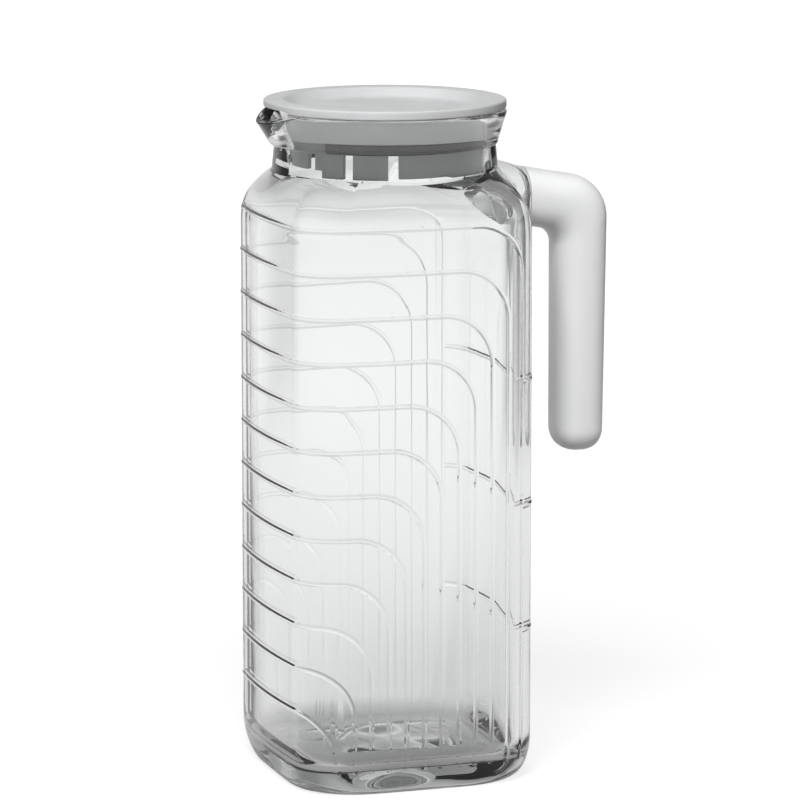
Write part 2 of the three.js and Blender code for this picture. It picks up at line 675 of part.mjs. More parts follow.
// The origin is the middle of the space that the jug takes up on its shelf
const extent = new THREE.Box3().setFromObject(jug);
jug.position.x = -(extent.min.x + extent.max.x) / 2;
jug.updateMatrixWorld(true);

export default jug;
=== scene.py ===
"""Looks of a square glass fridge jug: clear ribbed glass, satin handle and grey strainer lid."""

import math

import bpy
import numpy as np
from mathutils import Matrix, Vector

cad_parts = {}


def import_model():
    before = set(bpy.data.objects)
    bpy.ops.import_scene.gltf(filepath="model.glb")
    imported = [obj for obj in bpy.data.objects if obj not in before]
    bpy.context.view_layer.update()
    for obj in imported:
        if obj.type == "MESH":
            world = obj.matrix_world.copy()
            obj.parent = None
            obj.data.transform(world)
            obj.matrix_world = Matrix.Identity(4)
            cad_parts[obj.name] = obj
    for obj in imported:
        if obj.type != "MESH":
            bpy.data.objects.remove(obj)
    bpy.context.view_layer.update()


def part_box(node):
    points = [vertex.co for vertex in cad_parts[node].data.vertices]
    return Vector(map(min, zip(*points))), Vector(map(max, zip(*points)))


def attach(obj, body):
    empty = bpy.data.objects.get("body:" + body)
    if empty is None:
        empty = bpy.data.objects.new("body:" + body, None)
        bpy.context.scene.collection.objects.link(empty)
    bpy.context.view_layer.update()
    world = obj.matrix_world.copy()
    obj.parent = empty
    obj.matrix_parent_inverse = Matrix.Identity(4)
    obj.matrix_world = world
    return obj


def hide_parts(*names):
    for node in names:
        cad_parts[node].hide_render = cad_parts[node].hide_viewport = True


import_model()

# The pieces are built round the jug's axis in millimetres, and the cap is centred on that axis
MM = 0.001
cap_low, cap_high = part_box("lid_cap")
AXIS_X = (cap_low.x + cap_high.x) / 2

# Glass body
BODY_HALF = 47.0
SIDE_SWELL = 1.5
CORNER_RADIUS = 17.4
INNER_CORNER_RADIUS = 16.0
WALL = 3.8
WALL_TOP = 207.5
SHOULDER_HEIGHT = 22.5
SHOULDER_FULLNESS = 2.5
INNER_SHOULDER_HEIGHT = 17.5
INNER_SHOULDER_DROP = 3.0
NECK_HEIGHT = 9.2
NECK_RADIUS = 41.6
NECK_FOOT_RADIUS = 42.5
MOUTH_RADIUS = 38.3

# Glass foot and floor
FOOT_HALF = 43.0
FOOT_CORNER_RADIUS = 26.0
FOOT_RING_WIDTH = 8.0
HEEL_HEIGHT = 16.5
PUSH_UP = 4.0
FLOOR_LEVEL = 8.5
FLOOR_FILLET = 9.0
FLOOR_DOME_HEIGHT = 6.5
FLOOR_DOME_RADIUS = 27.0

# Collar and spout
COLLAR_HEIGHT = 13.0
COLLAR_FOOT_RADIUS = 42.6
COLLAR_FOOT_ROUND = 1.6
COLLAR_RADIUS = 45.7
RIM_ROUND = 1.1
LEAD_IN_RADIUS = 40.0
LEAD_IN_HEIGHT = 4.0
SPOUT_REACH = 49.8
SPOUT_DIP = 3.5
SPOUT_HALF_ANGLE = math.radians(27)
SPOUT_ANGLE = math.pi
SPOUT_CHEEK_POWER = 0.32
SPOUT_CHANNEL_POWER = 1.5

# Raised lines
RIB_WIDTH = 2.8
RIB_HEIGHT = 0.28
RIB_EDGE_SINK = 0.065
RIB_SINK = 0.4
RIB_TOP_LEVEL = 213.0
RIB_PITCH = 16.45
RIB_COUNT = 12
RIB_TURN_RADIUS = 19.5
RIB_FOOT_LEVEL = 9.0
RUN_DOWN_PAST_CORNER = 10.0
RUN_DOWN_PITCH = 6.7
CROSS_RIB_LEVELS = (58.7, 106.0, 153.3)

# Handle and the boss that carries it
BOSS_REACH = 7.0
BOSS_FLARE = 14.0
BOSS_FLARE_POWER = 1.5
BOSS_RISE = 0.8
HANDLE_TOP_DROP = 22.6
HANDLE_REACH = 87.8
HANDLE_LENGTH = 111.5
HANDLE_WIDTH = 24.0
ARM_THICKNESS = 22.5
ARM_SLOPE = math.radians(10.5)
GRIP_THICKNESS = 21.0
GRIP_OUTER_LEAN = math.radians(0.9)
GRIP_INNER_LEAN = math.radians(-0.2)
HANDLE_OUTER_BEND = 16.0
HANDLE_INNER_BEND = 7.0
HANDLE_END_ROUND = 9.0
HANDLE_END_POWER = 0.7
HANDLE_SQUARENESS = 2.4

# Lid
LID_RADIUS = 45.5
FLANGE_THICKNESS = 3.5
FLANGE_EDGE = 0.9
DISH_RADIUS = 38.0
DISH_FLOOR_RADIUS = 34.5
DISH_DEPTH = 3.8
DISH_EDGE = 0.8
DISH_FILLET = 1.6
DISH_PLATE = 2.0
SPIGOT_LENGTH = 5.5
SPIGOT_WALL = 2.2
NOTCH_HALF_ANGLE = math.radians(20)
NOTCH_DEPTH = 1.3
NOTCH_LENGTH = 5.0
SKIRT_DEPTH = 23.0
SKIRT_WALL = 2.6
SKIRT_CLEARANCE = 0.9
SKIRT_EDGE = 0.3
SLOT_COUNT = 7
SLOT_WIDTH = 3.8
SLOT_HEIGHT = 9.8
SLOT_PITCH = math.radians(25.5)
POUR_HALF_ANGLE = math.radians(35)
POUR_SET_IN = 1.0
POUR_SHORTER_BY = 2.6
SEAL_HEIGHT = 2.6
SEAL_DEPTH = 10.3
SEAL_GROOVE = 1.2
SEAL_INNER_EDGE = 0.25
SEAL_OUTER_EDGE = 0.6
SEAL_GAP_HALF_ANGLE = math.radians(38)
TONE_SEAM = 0.05

# Gap between fitted pieces, and how far a cutting block stands past what it cuts
FIT_GAP = 0.3
CUT_MARGIN = 1.0

# Facets
FLAT_STEPS = 16
CORNER_STEPS = 20
HEEL_STEPS = 14
SHOULDER_STEPS = 24
DOME_STEPS = 12
ROUND_STEPS = 6
TURN_STEPS = 18
RIB_SIDES = 16
BEND_STEPS = 24
HANDLE_SIDES = 72
END_STEPS = 14
LATHE_STEPS = 192
SECTOR_STEPS = 24

# Edges that turn by more than these angles are shaded sharp
GLASS_SHARP = math.radians(32)
RIB_SHARP = math.radians(16)
HANDLE_SHARP = math.radians(40)
PLASTIC_SHARP = math.radians(35)

# Levels, radii and lengths that follow from the sizes above
NECK_BASE = WALL_TOP + SHOULDER_HEIGHT
COLLAR_FOOT = NECK_BASE + NECK_HEIGHT
RIM_TOP = COLLAR_FOOT + COLLAR_HEIGHT
BODY_FLAT = BODY_HALF - CORNER_RADIUS
QUARTER_OUTLINE = 2 * BODY_FLAT + math.pi / 2 * CORNER_RADIUS
BOSS_FACE = BODY_HALF + BOSS_REACH
FLANGE_BOTTOM = RIM_TOP + FIT_GAP
LID_TOP = FLANGE_BOTTOM + FLANGE_THICKNESS
SKIRT_RADIUS = MOUTH_RADIUS - SKIRT_CLEARANCE
SKIRT_BORE = SKIRT_RADIUS - SKIRT_WALL
SKIRT_TOP = FLANGE_BOTTOM - FIT_GAP
SKIRT_BOTTOM = FLANGE_BOTTOM - SKIRT_DEPTH
GROOVE_RADIUS = SKIRT_RADIUS - SEAL_GROOVE
SEAL_BOTTOM = RIM_TOP - SEAL_DEPTH - SEAL_HEIGHT / 2
SEAL_TOP = SEAL_BOTTOM + SEAL_HEIGHT


def mix(low, high, share):
    """Value at a share of the way from low to high."""
    return low + (high - low) * share


# Rings, skins and solids

def rounded_square(half, corner, angle):
    """Distance from the centre of a square with rounded corners to its outline."""
    along, across = np.abs(np.cos(angle)), np.abs(np.sin(angle))
    flat = half - corner
    on_flat = half * np.minimum(along, across) <= flat * np.maximum(along, across)
    root = np.sqrt(np.maximum(corner ** 2 - (flat * (along - across)) ** 2, 0))
    return np.where(on_flat, half / np.maximum(along, across), flat * (along + across) + root)


def swollen_square(half, corner, angle):
    """The same for a square whose sides swell: arcs that run into the corners without a crease."""
    along = np.maximum(np.abs(np.cos(angle)), np.abs(np.sin(angle)))
    across = np.minimum(np.abs(np.cos(angle)), np.abs(np.sin(angle)))
    flat = half - corner
    side_radius = corner + (flat ** 2 + SIDE_SWELL ** 2) / (2 * SIDE_SWELL)
    set_back = side_radius - half - SIDE_SWELL
    start = math.atan2(flat, flat + set_back)
    meet_x, meet_y = flat + corner * math.cos(start), flat + corner * math.sin(start)
    on_side = across * meet_x <= along * meet_y
    side = np.sqrt(side_radius ** 2 - (set_back * across) ** 2) - set_back * along
    root = np.sqrt(np.maximum(corner ** 2 - (flat * (along - across)) ** 2, 0))
    return np.where(on_side, side, flat * (along + across) + root)


def outline_angles():
    """Angles of the glass's points: along the flats and round the corners."""
    flat = np.arctan2(BODY_FLAT * (2 * np.arange(FLAT_STEPS) / FLAT_STEPS - 1), BODY_HALF)
    turn = math.pi / 2 * np.arange(CORNER_STEPS) / CORNER_STEPS
    corner = np.arctan2(BODY_FLAT + CORNER_RADIUS * np.sin(turn),
                        BODY_FLAT + CORNER_RADIUS * np.cos(turn))
    quarter = np.concatenate([flat, corner])
    return np.concatenate([quarter + face * math.pi / 2 for face in range(4)])


ANGLES = outline_angles()
BODY = swollen_square(BODY_HALF, CORNER_RADIUS, ANGLES)
INNER = swollen_square(BODY_HALF - WALL, INNER_CORNER_RADIUS, ANGLES)
FOOT = rounded_square(FOOT_HALF, FOOT_CORNER_RADIUS, ANGLES)
SPOUT_OFF = np.clip(np.abs(ANGLES - SPOUT_ANGLE) / SPOUT_HALF_ANGLE, 0, 1)
SPOUT_SHARE = np.cos(math.pi / 2 * SPOUT_OFF) ** 2


def ring(radius, level):
    """One ring of points round the axis; radius and level are numbers or have a value per angle."""
    radius, level = np.broadcast_arrays(radius, level, ANGLES)[:2]
    return np.column_stack([radius * np.cos(ANGLES), radius * np.sin(ANGLES), level])


def loft_faces(ring_count, sides):
    """Faces of a closed skin through rings, with a point at either end after the rings' points."""
    start, end = ring_count * sides, ring_count * sides + 1
    last = start - sides
    faces = []
    for i in range(sides):
        following = (i + 1) % sides
        faces.append((start, following, i))
        for base in range(0, last, sides):
            faces.append((base + i, base + following, base + sides + following, base + sides + i))
        faces.append((last + i, last + following, end))
    return faces


def new_object(name, points, faces):
    """Mesh object from points in millimetres round the jug's axis."""
    placed = np.asarray(points, float) * MM + np.array([AXIS_X, 0, 0])
    mesh = bpy.data.meshes.new(name)
    mesh.from_pydata(placed.tolist(), [], faces)
    mesh.update()
    made = bpy.data.objects.new(name, mesh)
    bpy.context.scene.collection.objects.link(made)
    return made


def loft(name, rings, start, end):
    """Closed skin through rings, drawn to a point at either end."""
    points = np.concatenate([*rings, [start], [end]])
    return new_object(name, points, loft_faces(len(rings), len(rings[0])))


def turned_ring(radius, level):
    """One ring of points of a turned piece."""
    angles = 2 * math.pi * np.arange(LATHE_STEPS) / LATHE_STEPS
    levels = np.full(LATHE_STEPS, level)
    return np.column_stack([radius * np.cos(angles), radius * np.sin(angles), levels])


def lathe(name, profile):
    """Turns a closed profile of (radius, level) pairs round the axis. It runs up its outer side."""
    points = [turned_ring(*corner) for corner in profile]
    faces = []
    count = len(profile)
    for row in range(count):
        base, above = row * LATHE_STEPS, (row + 1) % count * LATHE_STEPS
        for i in range(LATHE_STEPS):
            following = (i + 1) % LATHE_STEPS
            faces.append((base + i, base + following, above + following, above + i))
    return new_object(name, np.concatenate(points), faces)


def capped_lathe(name, profile):
    """Turns a profile that starts and ends on the axis."""
    rings = [turned_ring(*corner) for corner in profile[1:-1]]
    return loft(name, rings, (0, 0, profile[0][1]), (0, 0, profile[-1][1]))


def ring_sector(name, inner, outer, half_angle, bottom, top):
    """Block that fills the part of a ring within half an angle of the spout's direction."""
    corners = [(inner, bottom), (inner, top), (outer, top), (outer, bottom)]
    angles = SPOUT_ANGLE + half_angle * (2 * np.arange(SECTOR_STEPS + 1) / SECTOR_STEPS - 1)
    rings = []
    for angle in angles:
        out = np.array([math.cos(angle), math.sin(angle)])
        rings.append(np.array([[*(out * radius), level] for radius, level in corners]))
    return loft(name, rings, rings[0].mean(axis=0), rings[-1].mean(axis=0))


def arc(centre, start, end):
    """Quarter of an ellipse round a centre, from start to end."""
    points = []
    for i in range(ROUND_STEPS + 1):
        turn = math.pi / 2 * i / ROUND_STEPS
        points.append(tuple(mix(c, s, math.cos(turn)) + mix(c, e, math.sin(turn)) - c
                            for c, s, e in zip(centre, start, end)))
    return points


def combine(target, tool, operation):
    """Joins or cuts target with tool, which is used up."""
    cut = target.modifiers.new("combine", "BOOLEAN")
    cut.object = tool
    cut.operation = operation
    cut.solver = "MANIFOLD"
    graph = bpy.context.evaluated_depsgraph_get()
    mesh = bpy.data.meshes.new_from_object(target.evaluated_get(graph))
    target.modifiers.clear()
    target.data = mesh
    bpy.data.objects.remove(tool)
    return target


def finish_piece(piece, body, node, material, sharp):
    """Shades a finished piece and puts it in the place of its CAD node."""
    piece.data.materials.clear()
    piece.data.materials.append(material)
    for polygon in piece.data.polygons:
        polygon.use_smooth = True
    piece.data.set_sharp_from_angle(angle=sharp)
    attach(piece, body)
    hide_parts(node)


# Glass body

def collar_ring(radius, height, push_power):
    """Ring of the collar at a height above its foot, pressed out and down at the spout."""
    rise = max(height, 0) / COLLAR_HEIGHT
    push = (SPOUT_REACH - COLLAR_RADIUS) * rise ** push_power
    level = COLLAR_FOOT + height - SPOUT_DIP * rise ** 2 * SPOUT_SHARE
    return ring(radius + push * SPOUT_SHARE, level)


def opened_at(drop):
    """How far a shoulder has opened from round neck to square wall, at a share of its drop."""
    return 1 - (1 - drop) ** SHOULDER_FULLNESS


def shoulder_ring(square, round_radius, share, top_level, height):
    """Ring of a shoulder at a share of its drop, between a round neck and a square wall."""
    return ring(mix(round_radius, square, opened_at(share)), top_level - height * share)


def outer_rings():
    """Rings of the glass's outer skin, from the push-up under the foot to the rim."""
    rings = []
    for i in range(1, DOME_STEPS):
        share = i / DOME_STEPS
        level = PUSH_UP * (1 + math.cos(math.pi * share)) / 2
        rings.append(ring((FOOT - FOOT_RING_WIDTH) * share, level))
    rings.append(ring(FOOT - FOOT_RING_WIDTH, 0.0))
    for i in range(HEEL_STEPS + 1):
        turn = math.pi / 2 * i / HEEL_STEPS
        rings.append(ring(mix(FOOT, BODY, math.sin(turn)), HEEL_HEIGHT * (1 - math.cos(turn))))
    for i in range(SHOULDER_STEPS, -1, -1):
        rings.append(shoulder_ring(BODY, NECK_FOOT_RADIUS, i / SHOULDER_STEPS,
                                   NECK_BASE, SHOULDER_HEIGHT))
    foot_round = arc((NECK_RADIUS, COLLAR_FOOT_ROUND), (NECK_RADIUS, 0),
                     (COLLAR_FOOT_RADIUS, COLLAR_FOOT_ROUND))
    rings.extend(collar_ring(radius, height, SPOUT_CHEEK_POWER) for radius, height in foot_round)
    rim_edge = COLLAR_HEIGHT - RIM_ROUND
    for i in range(1, ROUND_STEPS):
        share = i / ROUND_STEPS
        radius = mix(COLLAR_FOOT_RADIUS, COLLAR_RADIUS, share)
        rings.append(collar_ring(radius, mix(COLLAR_FOOT_ROUND, rim_edge, share), SPOUT_CHEEK_POWER))
    top = COLLAR_RADIUS - RIM_ROUND
    rim = arc((top, rim_edge), (COLLAR_RADIUS, rim_edge), (top, COLLAR_HEIGHT))
    rings.extend(collar_ring(radius, height, SPOUT_CHEEK_POWER) for radius, height in rim)
    return rings


def inner_rings():
    """Rings of the inner skin, from the rim to the domed floor."""
    bore = COLLAR_HEIGHT - LEAD_IN_HEIGHT
    rings = [collar_ring(LEAD_IN_RADIUS, COLLAR_HEIGHT, SPOUT_CHEEK_POWER)]
    for height in np.linspace(bore, 0, ROUND_STEPS):
        rings.append(collar_ring(MOUTH_RADIUS, height, SPOUT_CHANNEL_POWER))
    shoulder_top = NECK_BASE - INNER_SHOULDER_DROP
    for i in range(SHOULDER_STEPS + 1):
        rings.append(shoulder_ring(INNER, MOUTH_RADIUS, i / SHOULDER_STEPS,
                                   shoulder_top, INNER_SHOULDER_HEIGHT))
    for i in range(HEEL_STEPS + 1):
        turn = math.pi / 2 * i / HEEL_STEPS
        level = FLOOR_LEVEL + FLOOR_FILLET * (1 - math.sin(turn))
        rings.append(ring(INNER - FLOOR_FILLET * (1 - math.cos(turn)), level))
    for i in range(DOME_STEPS, 0, -1):
        share = i / DOME_STEPS
        rings.append(ring(FLOOR_DOME_RADIUS * share,
                          FLOOR_LEVEL + FLOOR_DOME_HEIGHT * (1 + math.cos(math.pi * share)) / 2))
    return rings


def skin_radius(angle, level):
    """Distance of the glass's outer skin from the axis between the foot and the neck."""
    heel_drop = max(HEEL_HEIGHT - level, 0) / HEEL_HEIGHT
    foot = rounded_square(FOOT_HALF, FOOT_CORNER_RADIUS, angle)
    body = swollen_square(BODY_HALF, CORNER_RADIUS, angle)
    drop = min((NECK_BASE - level) / SHOULDER_HEIGHT, 1)
    return mix(NECK_FOOT_RADIUS, mix(foot, body, math.sqrt(1 - heel_drop ** 2)), opened_at(drop))


def on_skin(along, level, lift):
    """Point on the skin; along counts round the unswelled outline from the spout side's middle."""
    face = round(along / QUARTER_OUTLINE)
    offset = along - face * QUARTER_OUTLINE
    on_flat = min(abs(offset), BODY_FLAT)
    turn = (abs(offset) - on_flat) / CORNER_RADIUS
    x = BODY_FLAT + (CORNER_RADIUS + lift) * math.cos(turn)
    y = math.copysign(on_flat + (CORNER_RADIUS + lift) * math.sin(turn), offset)
    angle = math.atan2(y, x)
    draw = float(skin_radius(angle, level) / rounded_square(BODY_HALF, CORNER_RADIUS, angle))
    facing = SPOUT_ANGLE + face * math.pi / 2
    return (draw * (x * math.cos(facing) - y * math.sin(facing)),
            draw * (x * math.sin(facing) + y * math.cos(facing)), level)


def outline_stops(start, end):
    """Places along the outline between two others, at the glass's points on flats and corners."""
    facet = math.pi / 2 * CORNER_RADIUS / CORNER_STEPS
    clear = facet / 4
    stops = []
    for face in range(-2, 4):
        middle = face * QUARTER_OUTLINE
        stops.extend(middle + BODY_FLAT * (2 * i / FLAT_STEPS - 1) for i in range(1, FLAT_STEPS))
        stops.extend(middle + BODY_FLAT + i * facet for i in range(CORNER_STEPS + 1))
    return sorted(stop for stop in stops if start + clear < stop < end - clear)


def rib_section():
    """Round swell that flattens towards the skin on both sides and dips just below it."""
    section = [(-RIB_WIDTH / 2, -RIB_SINK), (RIB_WIDTH / 2, -RIB_SINK)]
    for i in range(RIB_SIDES + 1):
        share = 1 - 2 * i / RIB_SIDES
        rise = math.cos(math.pi / 2 * share) ** 2
        section.append((RIB_WIDTH / 2 * share, mix(-RIB_EDGE_SINK, RIB_HEIGHT, rise)))
    return section


def rib_along(name, path):
    """Raised line along a row of (along, level) places on the skin."""
    section = rib_section()
    rings = []
    for i, (along, level) in enumerate(path):
        before, after = path[max(i - 1, 0)], path[min(i + 1, len(path) - 1)]
        heading = math.atan2(after[1] - before[1], after[0] - before[0])
        rings.append(np.array([
            on_skin(along - across * math.sin(heading), level + across * math.cos(heading), lift)
            for across, lift in section
        ]))
    return loft(name, rings, on_skin(*path[0], 0), on_skin(*path[-1], 0))


def nested_rib(k):
    """Line k: level round the spout side, then a quarter turn down on the front and the back."""
    level = RIB_TOP_LEVEL - k * RIB_PITCH
    run_down = QUARTER_OUTLINE + BODY_FLAT + RUN_DOWN_PAST_CORNER - k * RUN_DOWN_PITCH
    turn_start = run_down - RIB_TURN_RADIUS
    half = []
    for i in range(TURN_STEPS + 1):
        turn = math.pi / 2 * i / TURN_STEPS
        half.append((turn_start + RIB_TURN_RADIUS * math.sin(turn),
                     level - RIB_TURN_RADIUS * (1 - math.cos(turn))))
    bend_end = level - RIB_TURN_RADIUS
    heel_start = min(HEEL_HEIGHT, bend_end)
    if heel_start < bend_end:
        half.append((run_down, heel_start))
    for i in range(1, ROUND_STEPS + 1):
        half.append((run_down, mix(heel_start, RIB_FOOT_LEVEL, i / ROUND_STEPS)))
    back = [(-along, at) for along, at in reversed(half)]
    across = [(along, level) for along in outline_stops(-turn_start, turn_start)]
    return rib_along(f"nested_rib_{k}", back + across + half)


def cross_rib(k, level):
    """Level line across the handle side, between the first run-downs of the front and the back."""
    start = QUARTER_OUTLINE + BODY_FLAT + RUN_DOWN_PAST_CORNER
    end = 4 * QUARTER_OUTLINE - start
    places = [start, *outline_stops(start, end), end]
    return rib_along(f"cross_rib_{k}", [(along, level) for along in places])


def arm_top(x):
    """Level of the handle's upper line, drawn on over its bend."""
    return RIM_TOP - HANDLE_TOP_DROP - (x - BODY_HALF) * math.tan(ARM_SLOPE)


def handle_ring(inner, outer, half_width):
    """Section of the handle between a point on its inner line and one on its outer line."""
    turns = 2 * math.pi * np.arange(HANDLE_SIDES) / HANDLE_SIDES
    power = 2 / HANDLE_SQUARENESS
    out = np.sign(np.cos(turns)) * np.abs(np.cos(turns)) ** power
    side = np.sign(np.sin(turns)) * np.abs(np.sin(turns)) ** power
    middle, reach = (inner + outer) / 2, (outer - inner) / 2
    return np.column_stack([middle[0] + reach[0] * out, -half_width * side,
                            middle[1] + reach[1] * out])


def handle_boss():
    """Flared boss from inside the glass wall to the handle's root."""
    start_x = BODY_HALF - WALL / 2
    rings = []
    for i in range(END_STEPS + 1):
        x = mix(start_x, BOSS_FACE, i / END_STEPS)
        flare = min((BOSS_FACE - x) / BOSS_REACH, 1) ** BOSS_FLARE_POWER
        top = np.array([x, arm_top(x) + BOSS_RISE * flare])
        bottom = np.array([x, arm_top(x) - ARM_THICKNESS - BOSS_RISE * flare])
        rings.append(handle_ring(bottom, top, HANDLE_WIDTH / 2 + BOSS_FLARE * flare))
    return rings


def boss_outside_wall():
    """The boss, started well inside the jug and cut back to the middle of the glass wall."""
    below = WALL_TOP - 2 * ARM_THICKNESS
    rings = handle_boss()
    root = rings[0].copy()
    root[:, 0] = NECK_RADIUS - WALL
    rings = [root, *rings]
    boss = loft("boss", rings, rings[0].mean(axis=0), rings[-1].mean(axis=0))
    inside = [ring(BODY - WALL / 2, below)]
    for i in range(SHOULDER_STEPS, -1, -1):
        inside.append(shoulder_ring(BODY - WALL / 2, NECK_FOOT_RADIUS - WALL / 2,
                                    i / SHOULDER_STEPS, NECK_BASE, SHOULDER_HEIGHT))
    inside.append(ring(NECK_RADIUS - WALL / 2, RIM_TOP))
    space = loft("space", inside, (0, 0, below), (0, 0, RIM_TOP))
    return combine(boss, space, "DIFFERENCE")


def crease_ribs(mesh):
    """Makes the raised lines' edges sharp, and leaves the neck and the collar as they are."""
    kept = [edge.use_edge_sharp for edge in mesh.edges]
    mesh.set_sharp_from_angle(angle=RIB_SHARP)
    for edge, sharp in zip(mesh.edges, kept):
        if mesh.vertices[edge.vertices[0]].co.z > NECK_BASE * MM:
            edge.use_edge_sharp = sharp


def glass_body(material):
    glass = loft("jug_glass", [*outer_rings(), *inner_rings()],
                 (0, 0, PUSH_UP), (0, 0, FLOOR_LEVEL + FLOOR_DOME_HEIGHT))
    for k in range(RIB_COUNT):
        combine(glass, nested_rib(k), "UNION")
    for k, level in enumerate(CROSS_RIB_LEVELS):
        combine(glass, cross_rib(k, level), "UNION")
    combine(glass, boss_outside_wall(), "UNION")
    finish_piece(glass, "jug", "jug_body", material, GLASS_SHARP)
    crease_ribs(glass.data)


# Handle

def step_by(forwards, left, heading):
    """Step in a plane, forwards and to the left of a heading."""
    turned = complex(forwards, left) * complex(math.cos(heading), math.sin(heading))
    return np.array([turned.real, turned.imag])


def handle_line(x, drop, lean, bend, grip_end):
    """One long side of the handle: root, round bend and grip, in the X-Z plane."""
    root_x = BOSS_FACE + FIT_GAP
    corner = np.array([x, arm_top(x) - drop])
    end_heading = -math.pi / 2 - lean
    turn = -ARM_SLOPE - end_heading
    bend_start = corner - step_by(bend * math.tan(turn / 2), 0, -ARM_SLOPE)
    points = [np.array([root_x, arm_top(root_x) - drop])]
    for i in range(BEND_STEPS + 1):
        angle = turn * i / BEND_STEPS
        forwards, left = bend * math.sin(angle), bend * (math.cos(angle) - 1)
        points.append(bend_start + step_by(forwards, left, -ARM_SLOPE))
    points.append(corner + step_by((corner[1] - grip_end) / math.cos(lean), 0, end_heading))
    return points


def handle(material):
    grip_end = RIM_TOP - HANDLE_TOP_DROP - HANDLE_LENGTH + HANDLE_END_ROUND
    outer = handle_line(HANDLE_REACH, 0, GRIP_OUTER_LEAN, HANDLE_OUTER_BEND, grip_end)
    inner = handle_line(HANDLE_REACH - GRIP_THICKNESS, ARM_THICKNESS, GRIP_INNER_LEAN,
                        HANDLE_INNER_BEND, grip_end)
    rings = [handle_ring(a, b, HANDLE_WIDTH / 2) for a, b in zip(inner, outer)]
    end = (inner[-1] + outer[-1]) / 2
    for i in range(1, END_STEPS):
        turn = math.pi / 2 * i / END_STEPS
        share = math.cos(turn) ** HANDLE_END_POWER
        shift = np.array([0, -HANDLE_END_ROUND * math.sin(turn)])
        rings.append(handle_ring(mix(end, inner[-1], share) + shift,
                                 mix(end, outer[-1], share) + shift, HANDLE_WIDTH / 2 * share))
    tip = (end[0], 0, grip_end - HANDLE_END_ROUND)
    piece = loft("handle_satin", rings, rings[0].mean(axis=0), tip)
    finish_piece(piece, "jug", "handle", material, HANDLE_SHARP)


# Lid

def rounded_corner(before, corner, after, size):
    """Points that round a profile's corner, from the side of before to the side of after."""
    before, corner, after = (np.array(p, float) for p in (before, corner, after))
    start = corner + size * (before - corner) / np.linalg.norm(before - corner)
    end = corner + size * (after - corner) / np.linalg.norm(after - corner)
    shares = np.arange(ROUND_STEPS + 1) / ROUND_STEPS
    return [tuple((1 - t) ** 2 * start + 2 * t * (1 - t) * corner + t ** 2 * end) for t in shares]


def round_off(profile, sizes):
    """Profile with some corners rounded: sizes gives each one's number and how far to cut back."""
    rounded = []
    for i, point in enumerate(profile):
        if i in sizes:
            following = profile[(i + 1) % len(profile)]
            rounded.extend(rounded_corner(profile[i - 1], point, following, sizes[i]))
        else:
            rounded.append(point)
    return rounded


def lid_cap(material):
    spigot = SKIRT_BORE - FIT_GAP
    dish_floor = LID_TOP - DISH_DEPTH
    plate_bottom = dish_floor - DISH_PLATE
    profile = [
        (0, plate_bottom),
        (spigot - SPIGOT_WALL, plate_bottom),
        (spigot - SPIGOT_WALL, FLANGE_BOTTOM - SPIGOT_LENGTH),
        (spigot, FLANGE_BOTTOM - SPIGOT_LENGTH),
        (spigot, FLANGE_BOTTOM),
        (LID_RADIUS, FLANGE_BOTTOM),
        (LID_RADIUS, LID_TOP),
        (DISH_RADIUS, LID_TOP),
        (DISH_FLOOR_RADIUS, dish_floor),
        (0, dish_floor),
    ]
    edges = {5: FLANGE_EDGE, 6: FLANGE_EDGE, 7: DISH_EDGE, 8: DISH_FILLET}
    cap = capped_lathe("lid_top", round_off(profile, edges))
    notch = ring_sector("notch", LID_RADIUS - NOTCH_LENGTH, LID_RADIUS + CUT_MARGIN,
                        NOTCH_HALF_ANGLE, FLANGE_BOTTOM - CUT_MARGIN, FLANGE_BOTTOM + NOTCH_DEPTH)
    combine(cap, notch, "DIFFERENCE")
    finish_piece(cap, "lid", "lid_cap", material, PLASTIC_SHARP)


def slot_block(i):
    """Block that cuts one slot from the skirt's lower edge."""
    angle = SPOUT_ANGLE + (i - (SLOT_COUNT - 1) / 2) * SLOT_PITCH
    out = np.array([math.cos(angle), math.sin(angle), 0])
    side = np.array([-math.sin(angle), math.cos(angle), 0]) * SLOT_WIDTH / 2
    low, high = SKIRT_BOTTOM - CUT_MARGIN, SKIRT_BOTTOM + SLOT_HEIGHT
    rings = []
    for radius in (SKIRT_BORE - CUT_MARGIN, SKIRT_RADIUS + CUT_MARGIN):
        middle = out * radius
        rings.append(np.array([middle + side + (0, 0, low), middle - side + (0, 0, low),
                               middle - side + (0, 0, high), middle + side + (0, 0, high)]))
    return loft("slot", rings[::-1], rings[1].mean(axis=0), rings[0].mean(axis=0))


def skirt_piece(name, profile, corners, material):
    """Part of the strainer's skirt, its pouring side set in and slots cut from its lower edge."""
    skirt = lathe(name, round_off(profile, {i: SKIRT_EDGE for i in corners}))
    inside, outside = SKIRT_BORE - CUT_MARGIN, SKIRT_RADIUS + CUT_MARGIN
    below, above = SKIRT_BOTTOM - CUT_MARGIN, SKIRT_TOP + CUT_MARGIN
    combine(skirt, ring_sector("set_in", SKIRT_RADIUS - POUR_SET_IN, outside, POUR_HALF_ANGLE,
                               below, above), "DIFFERENCE")
    combine(skirt, ring_sector("shorter", inside, outside, POUR_HALF_ANGLE,
                               below, SKIRT_BOTTOM + POUR_SHORTER_BY), "DIFFERENCE")
    for i in range(SLOT_COUNT):
        combine(skirt, slot_block(i), "DIFFERENCE")
    finish_piece(skirt, "lid", "lid_strainer", material, PLASTIC_SHARP)


